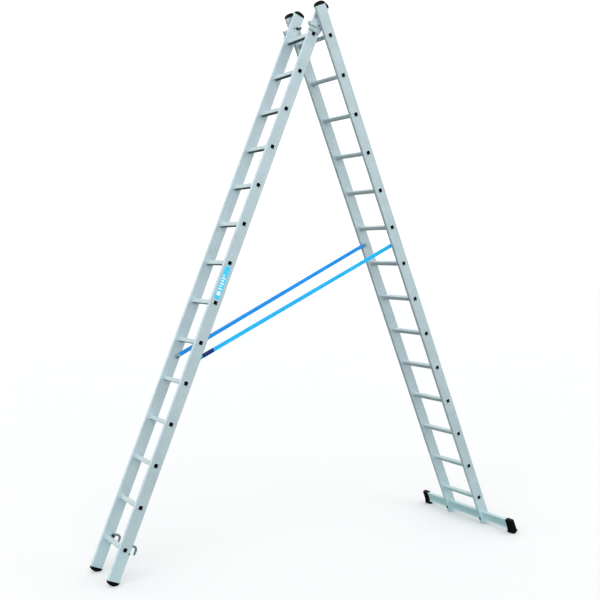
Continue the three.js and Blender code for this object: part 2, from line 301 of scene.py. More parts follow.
def makeAluminium(name, look, stretch):
    material, tree, shader, coords = startMaterial(name, look["metallic"], look["roughness"])
    shader.inputs["Specular IOR Level"].default_value = 0.4
    drawn = useGroup(tree, "lines", coords, Stretch=stretch)
    wear = useGroup(tree, "wear", coords, Radius=look["edge"])
    dust = useGroup(tree, "dust", coords, Amount=look["dust"])
    toned = mixColour(tree, remap(tree, drawn["Tone"], 0.3, 0.7), look["dark"], look["light"])
    lineMask = remap(tree, drawn["Lines"], 0.35, 0.65, 0.0, look["lineShade"])
    lined = mixColour(tree, lineMask, toned, look["line"])
    bright = mixColour(tree, wear["Mask"], lined, look["worn"])
    tree.links.new(mixColour(tree, dust["Mask"], bright, (0.62, 0.63, 0.62)), shader.inputs["Base Color"])
    brushed = remap(tree, drawn["Lines"], 0.2, 0.8, look["roughness"] - 0.08, look["roughness"] + 0.08)
    rough = maths(tree, "ADD", brushed, maths(tree, "MULTIPLY", dust["Mask"], 0.3), clamp=True)
    tree.links.new(rough, shader.inputs["Roughness"])
    bump(tree, shader, drawn["Lines"], look["bump"], 0.0004)
    return material


def makeMoulded(name, look):
    material, tree, shader, coords = startMaterial(name, 0.0, look["roughness"])
    shader.inputs["Specular IOR Level"].default_value = look["gloss"]
    grain = useGroup(tree, "grain", coords, Scale=look["grain"])
    wear = useGroup(tree, "wear", coords, Radius=0.002)
    dust = useGroup(tree, "dust", coords, Amount=look["dust"], Scale=45.0)
    toned = mixColour(tree, grain["Tone"], look["dark"], look["light"])
    worn = mixColour(tree, maths(tree, "MULTIPLY", wear["Mask"], 0.5), toned, look["worn"])
    tree.links.new(mixColour(tree, dust["Mask"], worn, (0.16, 0.16, 0.155)), shader.inputs["Base Color"])
    rough = remap(tree, grain["Tone"], 0.3, 0.7, look["roughness"] - 0.07, look["roughness"] + 0.09)
    tree.links.new(rough, shader.inputs["Roughness"])
    bump(tree, shader, grain["Height"], look["bump"], 0.0003)
    return material


def makeZinc(name, look):
    material, tree, shader, coords = startMaterial(name, 0.9, look["roughness"])
    grain = useGroup(tree, "grain", coords, Scale=look["grain"])
    wear = useGroup(tree, "wear", coords, Radius=0.001)
    spangle = addNode(tree, "ShaderNodeTexVoronoi", {"feature": "F1"}, {"Vector": coords, "Scale": 160.0})
    tone = mixColour(tree, spangle.outputs["Color"], look["dark"], look["light"])
    tree.links.new(mixColour(tree, wear["Mask"], tone, look["worn"]), shader.inputs["Base Color"])
    tree.links.new(remap(tree, grain["Tone"], 0.3, 0.7, look["roughness"] - 0.1, look["roughness"] + 0.1),
                   shader.inputs["Roughness"])
    bump(tree, shader, grain["Height"], 0.12, 0.0003)
    return material


def makeWebbing(name, look):
    material, tree, shader, coords = startMaterial(name, 0.0, look["roughness"])
    shader.inputs["Sheen Weight"].default_value = 0.08
    shader.inputs["Specular IOR Level"].default_value = 0.2
    shader.inputs["Sheen Roughness"].default_value = 0.4
    weave = useGroup(tree, "weave", coords, Thread=look["thread"])
    patch = noise(tree, coords, 7.0, 4.0)
    toned = mixColour(tree, remap(tree, patch, 0.3, 0.7), look["dark"], look["light"])
    tree.links.new(mixColour(tree, weave["Shade"], look["gap"], toned), shader.inputs["Base Color"])
    bump(tree, shader, weave["Height"], 0.5, 0.0005)
    return material


def makeThread(name, colour):
    material, tree, shader, coords = startMaterial(name, 0.0, 0.65)
    ply = noise(tree, stretched(tree, coords, (1800, 1800, 1800)), 1.0, 2.0)
    dark = [c * 0.6 for c in colour]
    tree.links.new(mixColour(tree, ply, dark, colour), shader.inputs["Base Color"])
    bump(tree, shader, ply, 0.4, 0.0002)
    return material


aluminiumLook = {
    "metallic": 0.32, "roughness": 0.42, "edge": 0.0022, "dust": 0.08, "lineShade": 0.28, "bump": 0.14,
    "dark": (0.450, 0.565, 0.608), "light": (0.520, 0.636, 0.680), "line": (0.37, 0.475, 0.515),
    "worn": (0.64, 0.71, 0.74),
}
rungLook = dict(aluminiumLook, dark=(0.44, 0.555, 0.58), light=(0.52, 0.63, 0.655), roughness=0.38)
# near-black aluminium for the rung undersides: painted shade, the same metal as the rung seen in shadow
undersideShadeLook = dict(
    aluminiumLook, metallic=0.12, roughness=0.62, dark=(0.13, 0.185, 0.175), light=(0.17, 0.23, 0.22),
    line=(0.11, 0.16, 0.15), worn=(0.24, 0.30, 0.29))
barLook = dict(aluminiumLook, dark=(0.455, 0.60, 0.62), light=(0.51, 0.65, 0.67), roughness=0.44)
castLook = dict(aluminiumLook, roughness=0.46, lineShade=0.1, bump=0.2)
# near-black aluminium inside the hollow rails and the rung bores: painted shade in the hollows, the metal
# there is the same aluminium
hollowShadeLook = dict(
    aluminiumLook, metallic=0.2, roughness=0.8, dark=(0.006, 0.007, 0.008), light=(0.012, 0.013, 0.014),
    line=(0.008, 0.008, 0.009), worn=(0.01, 0.01, 0.01), dust=0.0)
capLook = {
    "dark": (0.0015, 0.002, 0.0015), "light": (0.0035, 0.0045, 0.0035), "worn": (0.012, 0.013, 0.012),
    "roughness": 0.42, "gloss": 0.10, "grain": 1400.0, "dust": 0.015, "bump": 0.15,
}
bootLook = dict(capLook, roughness=0.55, gloss=0.07, grain=900.0, dust=0.02, bump=0.3)
leverLook = dict(
    capLook, dark=(0.002, 0.003, 0.020), light=(0.005, 0.007, 0.042), worn=(0.014, 0.018, 0.075),
    roughness=0.38, gloss=0.3)
zincLook = {
    "dark": (0.24, 0.37, 0.37), "light": (0.42, 0.56, 0.56), "worn": (0.62, 0.66, 0.66),
    "roughness": 0.4, "grain": 700.0,
}
steelLook = dict(
    zincLook, dark=(0.022, 0.026, 0.034), light=(0.045, 0.05, 0.06), worn=(0.16, 0.17, 0.18),
    roughness=0.35)
webLook = {
    "near": {"dark": (0.012, 0.47, 0.93), "light": (0.020, 0.55, 0.99)},
    "far": {"dark": (0.008, 0.30, 0.90), "light": (0.014, 0.36, 0.97)},
}
# navy webbing for the near strap's fly end: painted shadow that the near rail casts on the blue strap
railShadowLook = {
    "dark": (0.006, 0.03, 0.17), "light": (0.012, 0.05, 0.25), "gap": (0.002, 0.008, 0.05),
    "roughness": 0.6, "thread": 0.0018,
}

railFinish = makeAluminium("drawnAluminium", aluminiumLook, (500, 500, 5))
rungFinish = makeAluminium("rungAluminium", rungLook, (500, 5, 500))
undersideShadeFinish = makeAluminium("rungUndersidePaintedShade", undersideShadeLook, (500, 5, 500))
barFinish = makeAluminium("barAluminium", barLook, (500, 5, 500))
castFinish = makeAluminium("bracketAluminium", castLook, (120, 120, 120))
hollowShadeFinish = makeAluminium("hollowInsidePaintedShade", hollowShadeLook, (200, 200, 200))
capFinish = makeMoulded("blackCapPlastic", capLook)
bootFinish = makeMoulded("blackBootRubber", bootLook)
leverFinish = makeMoulded("navyLeverPlastic", leverLook)
zincFinish = makeZinc("zincPlate", zincLook)
steelFinish = makeZinc("darkSteel", steelLook)
threadFinish = makeThread("palePolyesterThread", (0.35, 0.62, 0.9))
webFinish = {}
for where, colours in webLook.items():
    gapColour = [c * 0.55 for c in colours["dark"]]
    look = dict(colours, gap=gapColour, roughness=0.55, thread=0.0018)
    webFinish[where] = makeWebbing("blueWebbing" + where.capitalize(), look)
railShadowFinish = makeWebbing("navyWebbingRailShadow", railShadowLook)
print("finishes made:", len(bpy.data.materials))


# Mesh tools

def arc(cx, cy, rx, ry, start, end, steps):
    turns = [math.radians(start + (end - start) * i / steps) for i in range(steps + 1)]
    return [(cx + rx * math.cos(t), cy + ry * math.sin(t)) for t in turns]


def oblong(x0, x1, z0, z1):
    return [(x0, z0), (x1, z0), (x1, z1), (x0, z1)]


def softened(points, radius, steps=4):
    # the outline with each corner rounded, as far as its neighbours leave room
    made = []
    for i, point in enumerate(points):
        corner = Vector(point)
        back = Vector(points[i - 1]) - corner
        ahead = Vector(points[(i + 1) % len(points)]) - corner
        reach = min(radius, back.length * 0.45, ahead.length * 0.45)
        start = corner + back.normalized() * reach
        end = corner + ahead.normalized() * reach
        for k in range(steps + 1):
            t = k / steps
            made.append(start * (1 - t) ** 2 + corner * 2 * t * (1 - t) + end * t ** 2)
    return made


def loft(bm, rings, closed=False, material=0):
    # joins rings of equal length with quads; rings are lists of 3-D points
    rows = [[bm.verts.new(p) for p in ring] for ring in rings]
    count = len(rows[0])
    pairs = list(zip(rows, rows[1:])) + ([(rows[-1], rows[0])] if closed else [])
    for first, second in pairs:
        for i in range(count):
            face = bm.faces.new((first[i - 1], first[i], second[i], second[i - 1]))
            face.material_index = material
    if not closed:
        bm.faces.new(list(reversed(rows[0]))).material_index = material
        bm.faces.new(rows[-1]).material_index = material
    return rows


def addSlab(bm, outline, low, high, edge=0.0008, steps=2):
    # an outline in x and z, drawn out along y, with its rims rounded
    start = [bm.verts.new((p[0], low, p[1])) for p in outline]
    end = [bm.verts.new((p[0], high, p[1])) for p in outline]
    rims = [bm.faces.new(start), bm.faces.new(list(reversed(end)))]
    for i in range(len(outline)):
        bm.faces.new((start[i - 1], end[i - 1], end[i], start[i]))
    if edge > 0:
        rimEdges = list({e for face in rims for e in face.edges})
        bmesh.ops.bevel(bm, geom=rimEdges, offset=edge, segments=steps, profile=0.6, affect="EDGES",
                        clamp_overlap=True)


def addTurned(bm, place, profile, steps=24, hexFrom=None, material=0):
    # a turned form about place's z: profile is (radius, height) pairs; up to hexFrom it is six-sided
    rings = []
    for k, (radius, height) in enumerate(profile):
        ring = []
        for i in range(steps):
            turn = 2 * math.pi * i / steps
            r = radius
            if hexFrom is not None and hexFrom[0] <= k <= hexFrom[1]:
                side = (turn + math.pi / 6) % (math.pi / 3) - math.pi / 6
                r = min(hexFrom[2] * math.cos(math.pi / 6) / math.cos(side), radius)
            ring.append(place @ Vector((r * math.cos(turn), r * math.sin(turn), height)))
        rings.append(ring)
    loft(bm, rings, material=material)


def facing(point, direction):
    # a frame at point whose z points along direction
    return Matrix.Translation(point) @ Vector(direction).to_track_quat("Z", "Y").to_matrix().to_4x4()


def addHexBolt(bm, place, size, height, washer):
    # a washer, then a six-sided head with its corners chamfered
    edge, lift = 0.0004, 0.0014
    disc = [(washer - edge, 0), (washer, edge), (washer, 0.0012), (washer - edge, 0.0016)]
    addTurned(bm, place, disc, 28)
    wide = size * 1.2
    head = [(wide, lift), (wide, lift + height * 0.75), (size * 1.0, lift + height * 0.9),
            (size * 0.86, lift + height), (size * 0.5, lift + height * 0.98)]
    addTurned(bm, place, head, 36, hexFrom=(0, 2, size * 1.12))


def addRivet(bm, place, radius, height, material=0):
    dome = [(radius, 0), (radius, height * 0.15)]
    dome += [(radius * math.cos(t), height * (0.15 + 0.85 * math.sin(t))) for t in (0.4, 0.8, 1.15, 1.4)]
    addTurned(bm, place, dome, 20, material=material)


def addWire(bm, points, radius, around=6):
    # round wire along a list of points
    rings = []
    side = None
    for i, point in enumerate(points):
        along = (points[min(i + 1, len(points) - 1)] - points[max(i - 1, 0)]).normalized()
        if side is None:
            side = along.orthogonal().normalized()
        side = (side - along * side.dot(along)).normalized()
        other = along.cross(side)
        turns = [2 * math.pi * k / around for k in range(around)]
        rings.append([point + (side * math.cos(t) + other * math.sin(t)) * radius for t in turns])
    loft(bm, rings)


def finishMesh(name, bm, place, finishes, smoothAngle=33.0):
    bmesh.ops.remove_doubles(bm, verts=bm.verts, dist=1e-6)
    bmesh.ops.recalc_face_normals(bm, faces=bm.faces)
    limit = math.radians(smoothAngle)
    for face in bm.faces:
        face.smooth = True
    for edge in bm.edges:
        edge.smooth = len(edge.link_faces) == 2 and edge.calc_face_angle(0) < limit
    mesh = bpy.data.meshes.new(name)
    bm.to_mesh(mesh)
    bm.free()
    for finish in finishes:
        mesh.materials.append(finish)
    piece = bpy.data.objects.new(name, mesh)
    bpy.context.scene.collection.objects.link(piece)
    piece.matrix_world = place
    return piece


def attach(piece, body, slotName, *nodes):
    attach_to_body(piece, body)
    if nodes:
        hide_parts(*nodes)
    return piece


# Check straps: flat webbing pulled straight from inside the base rail to inside the upper rail
strapParts = {
    "width": 0.028, "thick": 0.002, "clear": 0.0016,
    "base": (-0.015, -1.524),   # x and z in the base section's frame
    "fly": (0.020, -2.353),
    "tail": 0.052,              # the last stretch, which stays with the upper section
    "foldBase": 0.075, "foldFly": 0.090, "ridges": 7, "steps": 90,
    "shadowLayer": 0.0009,           # thickness of the navy layer on the outer face of the near strap: painted shadow of the near rail
    "shadowLayerWidth": 0.0286,
}


def strapEnds(side):
    reach = strapParts["clear"] + strapParts["thick"] / 2
    baseX, baseZ = strapParts["base"]
    flyX, flyZ = strapParts["fly"]
    start = baseFrame @ Vector((baseX, side * (innerFace(base) - reach), baseZ))
    end = flyFrame @ Vector((flyX, side * (innerFace(fly) - reach), flyZ))
    return start, end


def strapFrame(side):
    # x along the strap, y through it and z across it, from the base end
    start, end = strapEnds(side)
    along = (end - start).normalized()
    through = Vector((0, 1, 0))
    through = (through - along * through.dot(along)).normalized()
    across = along.cross(through)
    turn = Matrix((along, through, across)).transposed().to_4x4()
    return Matrix.Translation(start) @ turn, (end - start).length


def webbingRing(x, centre, width, thick):
    # a flat section with a rounded selvedge and shallow ridges along it
    half = width / 2
    count = strapParts["ridges"] * 4
    top = []
    for i in range(count + 1):
        z = -half + width * i / count
        over = max(0.0, (abs(z) - half + thick / 2) / (thick / 2))
        rim = max(0.0, 1 - over ** 2)
        ridge = 0.93 + 0.07 * math.cos(2 * math.pi * strapParts["ridges"] * i / count)
        top.append((z, thick / 2 * (0.25 + 0.75 * math.sqrt(rim)) * ridge))
    points = [Vector((x, centre + h, z)) for z, h in top]
    points += [Vector((x, centre - h, z)) for z, h in reversed(top)]
    return points


def addWebbing(bm, start, end, steps, centre=0.0, width=None, material=0, thick=None):
    width = width or strapParts["width"]
    thick = thick or strapParts["thick"]
    rings = []
    for i in range(steps + 1):
        x = start + (end - start) * i / steps
        rings.append(webbingRing(x, centre, width, thick))
    # melted, slightly pinched ends
    rings.insert(0, [Vector((start - 0.0006, (p.y + centre) / 2, p.z * 0.985)) for p in rings[0]])
    rings.append([Vector((end + 0.0006, (p.y + centre) / 2, p.z * 0.985)) for p in rings[-1]])
    loft(bm, rings, material=material)


def addStitch(bm, start, end, radius, lift):
    middle = (start + end) / 2 + Vector((0, lift, 0))
    points = [start, start * 0.6 + middle * 0.4 + Vector((0, lift * 0.5, 0)), middle,
              end * 0.6 + middle * 0.4 + Vector((0, lift * 0.5, 0)), end]
    addWire(bm, points, radius)


def addStitchBox(bm, x0, x1, level, direction):
    # a box of stitches with a cross inside it
    half = strapParts["width"] / 2 - 0.0045
    corners = oblong(x0, x1, -half, half)
    order = [(0, 1), (1, 2), (2, 3), (3, 0), (0, 2), (1, 3)]
    pitch = 0.0034
    for i, j in order:
        a, b = [Vector((x, level, z)) for x, z in (corners[i], corners[j])]
        count = max(2, int((b - a).length / pitch))
        for k in range(count):
            first, last = a.lerp(b, (k + 0.12) / count), a.lerp(b, (k + 0.88) / count)
            addStitch(bm, first, last, 0.0004, 0.0005 * direction)


def makeStrap(where, side):
    placeMatrix, length = strapFrame(side)
    thick = strapParts["thick"]
    overrun = strapParts["width"] / 2
    joint = length - strapParts["tail"]
    inward = -side          # the side of the strap that faces the middle of the ladder
    second = inward * (thick + 0.0002)
    foldStart = joint - strapParts["foldFly"]
    bm = bmesh.new()
    addWebbing(bm, -overrun, joint, strapParts["steps"])
    addWebbing(bm, -overrun + 0.001, strapParts["foldBase"], 8, centre=second)
    addWebbing(bm, foldStart, joint, 10, centre=second, material=1)
    # a thin navy layer over the near strap's fly end: painted shadow of the near rail
    if where == "near":
        outer = -inward * (thick / 2 + strapParts["shadowLayer"] / 2)
        addWebbing(bm, foldStart + 0.004, joint, 10, centre=outer, width=strapParts["shadowLayerWidth"],
                   material=1, thick=strapParts["shadowLayer"])
    # second finish: on the near strap the navy painted shadow of the near rail over the folded fly end, on
    # the far strap the plain webbing
    patch = railShadowFinish if where == "near" else webFinish[where]
    webbing = finishMesh("strap_webbing_" + where, bm, placeMatrix, [webFinish[where], patch])
    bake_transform(webbing)
    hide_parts("strap_" + where)

    bm = bmesh.new()
    addWebbing(bm, joint, length + overrun, 16)
    addWebbing(bm, joint, length + overrun - 0.001, 16, centre=second, material=1)
    tail = finishMesh("strap_tail_" + where, bm, placeMatrix, [webFinish[where], patch])
    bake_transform(tail)

    bm = bmesh.new()
    level = second + inward * (thick / 2 + 0.0001)
    addStitchBox(bm, 0.030, strapParts["foldBase"] - 0.005, level, inward)
    stitches = finishMesh("strap_stitches_" + where, bm, placeMatrix, [threadFinish])
    attach(stitches, "base_section", "strap_webbing")

    bm = bmesh.new()
    addStitchBox(bm, foldStart + 0.005, foldStart + 0.050, level, inward)
    flyStitches = finishMesh("strap_fly_stitches_" + where, bm, placeMatrix, [threadFinish])
    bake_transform(flyStitches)


for where, side in sides.items():
    makeStrap(where, side)
print("check straps made")


# Rails: hollow drawn sections with a square hole for every rung
railShape = {"depth": 0.083, "wall": 0.0016, "corner": 0.0042, "cornerSteps": 5, "hole": 0.0296,
             "step": 0.0320, "stepDepth": 0.0004}


def railRing(section, side, inset):
    # once round the section, with points where the rung holes and the end cut need them
    y0, y1 = between(side, innerFace(section), section["width"] / 2)
    half = railShape["depth"] / 2 - inset
    y0, y1 = y0 + inset, y1 - inset
    radius = railShape["corner"] - inset * 0.8
    hole = railShape["hole"] / 2
    step = railShape["step"]
    low = 0.0 if inset else railShape["stepDepth"]
    bead = 0.0006
    stops = [(-step - bead, 0.0), (-step, low), (-hole, low), (hole, low), (step, low), (step + bead, 0.0)]
    ring = []
    corners = [(half - radius, y1 - radius, 0), (-half + radius, y1 - radius, 90),
               (-half + radius, y0 + radius, 180), (half - radius, y0 + radius, 270)]
    for i, (cx, cy, start) in enumerate(corners):
        ring += arc(cx, cy, radius, radius, start, start + 90, railShape["cornerSteps"])
        if i == 0:
            ring += [(x, y1 - d) for x, d in reversed(stops)]
        if i == 2:
            ring += [(x, y0 + d) for x, d in stops]
    return ring


def railEnd(section, x):
    # the foot of a base rail is rounded off at the front
    half = railShape["depth"] / 2
    cut = section["endCut"]
    reach = max(0.0, min(1.0, (cut - half - x) / cut)) if cut else 0.0
    return section["bottom"] + cut * (1 - math.sqrt(1 - reach ** 2))


def makeRail(section, where, side):
    bm = bmesh.new()
    hole = railShape["hole"] / 2
    levels = []
    for i in range(rungCount - 1, -1, -1):
        levels += [-i * rungPitch - hole, -i * rungPitch + hole]
    skins = []
    for inset in (0.0, railShape["wall"]):
        ring = railRing(section, side, inset)
        rows = [[bm.verts.new((x, y, railEnd(section, x))) for x, y in ring]]
        rows += [[bm.verts.new((x, y, z)) for x, y in ring] for z in levels]
        rows.append([bm.verts.new((x, y, section["top"])) for x, y in ring])
        skins.append(rows)
    count = len(ring)
    # the stretches of the ring that cross a rung hole, from one of its edges to the other
    onEdge = [abs(abs(x) - hole) < 1e-6 for x, _ in ring]
    isHole = [onEdge[i] and onEdge[i - 1] and ring[i][0] * ring[i - 1][0] < 0 for i in range(count)]
    # the inner skin (s = 1) takes the near-black inside finish: painted shade inside the hollow rail
    for s, rows in enumerate(skins):
        for k in range(len(rows) - 1):
            atRung = k % 2 == 1
            for i in range(count):
                if atRung and isHole[i]:
                    continue
                face = bm.faces.new((rows[k][i - 1], rows[k][i], rows[k + 1][i], rows[k + 1][i - 1]))
                face.material_index = s
    outer, inner = skins
    for k in range(1, len(outer) - 1, 2):
        for i in range(count):
            if not isHole[i]:
                continue
            corners = [(k, i - 1), (k, i), (k + 1, i), (k + 1, i - 1)]
            for j in range(4):
                (ka, ia), (kb, ib) = corners[j], corners[(j + 1) % 4]
                bm.faces.new((outer[ka][ia], outer[kb][ib], inner[kb][ib], inner[ka][ia]))
    for row in (0, len(outer) - 1):
        for i in range(count):
            bm.faces.new((outer[row][i - 1], outer[row][i], inner[row][i], inner[row][i - 1]))
    rail = finishMesh("%s_rail_%s_extrusion" % (section["prefix"], where), bm, section["frame"],
                      [railFinish, hollowShadeFinish])
    attach(rail, section["body"], "rail_aluminium", "%s_rail_%s" % (section["prefix"], where))


for section in (base, fly):
    for where, side in sides.items():
        makeRail(section, where, side)
print("rails made")


# Rungs: square tube with a ribbed tread, swelled inside the rails and flared outside them
rungShape = {
    "size": 0.029, "wall": 0.0016, "corner": 0.004, "cornerSteps": 4,
    "ribs": 7, "ribPitch": 0.0028, "ribDepth": 0.0006,
    "flare": 0.0023, "bead": 0.0012,
    "out": 0.0013,      # how far the flared end stands out of the rail
}


def rungRing(y, grow, ribs, z0):
    # y, how far the section is swelled, how deep its ribs are, and its height
    half = rungShape["size"] / 2 + grow
    radius = max(0.0008, rungShape["corner"] + grow)
    depth = rungShape["ribDepth"] * ribs
    pitch = rungShape["ribPitch"]
    count = rungShape["ribs"]
    ring = []
    corners = [(half - radius, -half + radius, 270), (half - radius, half - radius, 0),
               (-half + radius, half - radius, 90), (-half + radius, -half + radius, 180)]
    for i, (cx, cz, start) in enumerate(corners):
        ring += arc(cx, cz, radius, radius, start, start + 90, rungShape["cornerSteps"])
        if i == 1:
            for k in range(count, 0, -1):
                centre = (k - (count + 1) / 2) * pitch
                ring += [(centre + pitch * 0.30, half), (centre + pitch * 0.18, half - depth),
                         (centre - pitch * 0.18, half - depth), (centre - pitch * 0.30, half)]
    return [Vector((x, y, z + z0)) for x, z in ring]


def makeRung(section, index):
    z0 = -index * rungPitch
    face = section["width"] / 2
    inner = innerFace(section)
    flare, bead, out = rungShape["flare"], rungShape["bead"], rungShape["out"]
    bore = -rungShape["wall"]
    # from the open end inwards: the flare, the part in the rail, the bead, then the ribs run out
    half = [
        (face + out * 0.9, bore + 0.0003, 0.0), (face + out, bore + 0.0012, 0.0),
        (face + out, flare * 0.7, 0.0), (face + out * 0.75, flare, 0.0), (face + 0.0002, flare, 0.0),
        (face + 0.0001, 0.0, 0.0), (inner, 0.0, 0.0),
        (inner - 0.0003, bead, 0.0), (inner - 0.0024, bead, 0.0), (inner - 0.0045, 0.0004, 0.4),
        (inner - 0.008, 0.0, 1.0),
    ]
    profile = [(-y, grow, ribs) for y, grow, ribs in half]
    profile += [(-inner * 0.5, 0.0, 1.0), (0.0, 0.0, 1.0), (inner * 0.5, 0.0, 1.0)]
    profile += [(y, grow, ribs) for y, grow, ribs in reversed(half)]
    outside = [rungRing(y, grow, ribs, z0) for y, grow, ribs in profile]
    inside = [rungRing(y, bore, 0.0, z0) for y in (face - 0.002, inner, -inner, -face + 0.002)]
    bm = bmesh.new()
    rings = outside + inside
    loft(bm, rings, closed=True)
    bm.verts.index_update()
    perRing = len(rings[0])
    firstInside = len(outside) * perRing
    underside = z0 - rungShape["size"] / 2 + 0.0002
    for panel in bm.faces:
        # the bore faces take the near-black inside finish: painted shade in the open rung ends
        if any(v.index >= firstInside for v in panel.verts):
            panel.material_index = 1
        elif all(v.co.z < underside and abs(v.co.y) < inner + 0.0001 for v in panel.verts):
            # the flat underside between the rails gets the near-black finish: painted shade under the rung
            panel.material_index = 2
    name = "%s_rung_%02d" % (section["prefix"], index + 1)
    rung = finishMesh(name + "_tube", bm, section["frame"], [rungFinish, hollowShadeFinish, undersideShadeFinish], 28.0)
    attach(rung, section["body"], "rung_aluminium", name)


for section in (base, fly):
    for index in range(rungCount):
        makeRung(section, index)
print("rungs made:", 2 * rungCount)


# Caps and feet: domed plastic with a short skirt
capShape = {"dome": 0.027, "band": 0.004, "overhang": 0.001, "fillet": 0.0032, "steps": 28, "gap": 0.0003,
            "plugGap": 0.0024}


def capRing(y, inset, z, up):
    half = railShape["depth"] / 2
    band, dome = capShape["band"], capShape["dome"]
    wide = half + capShape["overhang"] - inset
    lower = [(wide, capShape["gap"] + inset * 0.6), (wide, band - 0.0008), (wide - 0.0009, band)]
    curve = arc(0, band, wide - 0.0009, dome - band - inset, 4, 176, capShape["steps"])
    points = lower + curve + [(-x, h) for x, h in reversed(lower)]
    return [Vector((x, y, z + up * h)) for x, h in points]


def makeCap(section, side, z, up, name, node):
    over = capShape["overhang"]
    y0, y1 = between(side, innerFace(section) - over, section["width"] / 2 + over)
    fillet = capShape["fillet"]
    turns = [math.radians(t) for t in (0, 18, 36, 54, 72, 90)]
    rounds = [(fillet * (1 - math.cos(t)), fillet * (1 - math.sin(t))) for t in turns]
    rings = [capRing(y0 + across, inset, z, up) for across, inset in rounds]
    rings += [capRing(y1 - across, inset, z, up) for across, inset in reversed(rounds)]
    bm = bmesh.new()
    loft(bm, rings)
    # the stub that plugs the rail
    wide = railShape["depth"] / 2 - capShape["plugGap"]
    stub = softened([(wide, 0), (wide, 1), (-wide, 1), (-wide, 0)], 0.003)
    low, high = y0 + 0.0036, y1 - 0.0036
    outline = [(x, z + up * (0.003 - (1 - h) * 0.018)) for x, h in stub]
    addSlab(bm, outline, low, high, 0.0006)
    cap = finishMesh(name, bm, section["frame"], [capFinish], 40.0)
    attach(cap, section["body"], "cap_plastic", node)


for where, side in sides.items():
    makeCap(base, side, base["top"], 1, "base_cap_dome_" + where, "base_top_cap_" + where)
    makeCap(fly, side, fly["top"], 1, "fly_cap_dome_" + where, "fly_top_cap_" + where)
    makeCap(fly, side, fly["bottom"], -1, "fly_foot_dome_" + where, "fly_foot_" + where)
print("caps and feet made")


# Stabilizer: a flat tube through both base rails, with a boot on each end and a bolt in each rail
barShape = {"front": -0.012, "back": 0.011, "top": -3.764, "bottom": -3.842, "wall": 0.0025, "lip": 0.010,
            "lipOut": 0.0062, "lipEdge": 0.002, "half": 0.520, "recess": 0.0008, "corner": 0.0018}
bootShape = {"inner": 0.478, "outer": 0.535, "front": -0.017, "back": 0.019, "top": -3.759, "corner": 0.005,
             "ankle": -3.826, "heelAnkle": -3.846, "toe": -0.026, "soleBack": -0.005, "heel": 0.026,
             "heelBottom": -3.862, "edge": 0.007, "groove": 0.0018}
boltShape = {"z": -3.811, "y": 0.201, "size": 0.0072, "height": 0.0052, "washer": 0.0092}


def barOutline(grow):
    # the flared lower edge, the back and the top, then a shallow sunk band down the front
    front, back = barShape["front"] - grow, barShape["back"] + grow
    top, bottom = barShape["top"] + grow, barShape["bottom"] - grow
    lip, out = barShape["lip"], barShape["lipOut"]
    sunk = front + barShape["recess"]
    flared = [(front, bottom + lip), (front - out, bottom + barShape["lipEdge"]), (front - out, bottom)]
    rear = [(back, bottom), (back, top), (front, top)]
    groove = [(front, top - 0.006), (sunk, top - 0.007), (sunk, bottom + lip + 0.008)]
    return flared + rear + groove + [(front, bottom + lip + 0.007)]


def makeBar():
    corner = barShape["corner"]
    outside = softened(barOutline(0.0), corner, 3)
    inside = softened(barOutline(-barShape["wall"]), corner * 0.5, 3)
    half = barShape["half"]
    bm = bmesh.new()
    stops = [-half, -half * 0.5, 0.0, half * 0.5, half]
    outer = [[Vector((x, y, z)) for x, z in outside] for y in stops]
    inner = [[Vector((x, y, z)) for x, z in inside] for y in reversed(stops)]
    loft(bm, outer + inner, closed=True)
    bar = finishMesh("stabilizer_bar_tube", bm, baseFrame, [barFinish])
    attach(bar, "base_section", "bar_aluminium", "stabilizer_bar")


def floorUnder(x):
    # height in the base frame of the floor under a point x
    down = baseFrame.inverted() @ Vector((0, 0, 0))
    up = baseFrame.to_3x3().inverted() @ Vector((0, 0, 1))
    return down.z - (x - down.x) * up.x / up.z


def makeBoot(where, side):
    shape = bootShape
    front, back, corner = shape["front"], shape["back"], shape["corner"]
    toe, heel, edge, groove = shape["toe"], shape["heel"], shape["edge"], shape["groove"]
    soleBack = shape["soleBack"]
    ends = [(toe, floorUnder(toe)), (soleBack, floorUnder(soleBack)), (heel, shape["heelBottom"])]
    sole = [ends[0]]
    for (ax, az), (bx, bz), count in ((ends[0], ends[1], 2), (ends[1], ends[2], 4)):
        for k in range(count):
            # a small groove across the sole before each step of the way
            for share, lift in ((0.55, 0.0), (0.62, groove), (0.86, groove), (0.93, 0.0)):
                t = (k + share) / count
                sole.append((ax + (bx - ax) * t, az + (bz - az) * t + lift))
        sole.append((bx, bz))
    outline = sole + softened([
        (heel, shape["heelBottom"] + 0.001), (heel, shape["heelBottom"] + edge), (back, shape["heelAnkle"]),
        (back, shape["top"] - corner), (back - corner, shape["top"]), (front + corner, shape["top"]),
        (front, shape["top"] - corner), (front, shape["ankle"]), (toe, floorUnder(toe) + edge),
        (toe, floorUnder(toe) + 0.001)], 0.0022, 3)[4:-4]
    y0, y1 = between(side, shape["inner"], shape["outer"])
    bm = bmesh.new()
    addSlab(bm, outline, y0, y1, 0.0016, 3)
    # a raised panel on the outer end and a beaded collar round the mouth
    end = y1 if side > 0 else y0
    middle = (front + back) / 2
    left, right, high = middle - 0.011, middle + 0.011, shape["top"] - 0.014
    panel = softened([(left, shape["ankle"] - 0.006), (right, shape["heelAnkle"] + 0.010),
                      (right, high), (left, high)], 0.004)
    addSlab(bm, panel, *sorted((end - side * 0.002, end + side * 0.0010)), 0.0006)
    for k in range(2):
        start = shape["inner"] + 0.004 + k * 0.008
        low, high = between(side, start, start + 0.0035)
        for face, turn in ((front, 1), (back, -1)):
            band = oblong(face - turn * 0.0009, face + turn * 0.002, shape["top"] - 0.010,
                          shape["ankle"] + 0.004)
            addSlab(bm, band, low, high, 0.0005)
    boot = finishMesh("stabilizer_boot_rubber_" + where, bm, baseFrame, [bootFinish])
    attach(boot, "base_section", "boot_rubber", "stabilizer_boot_" + where)


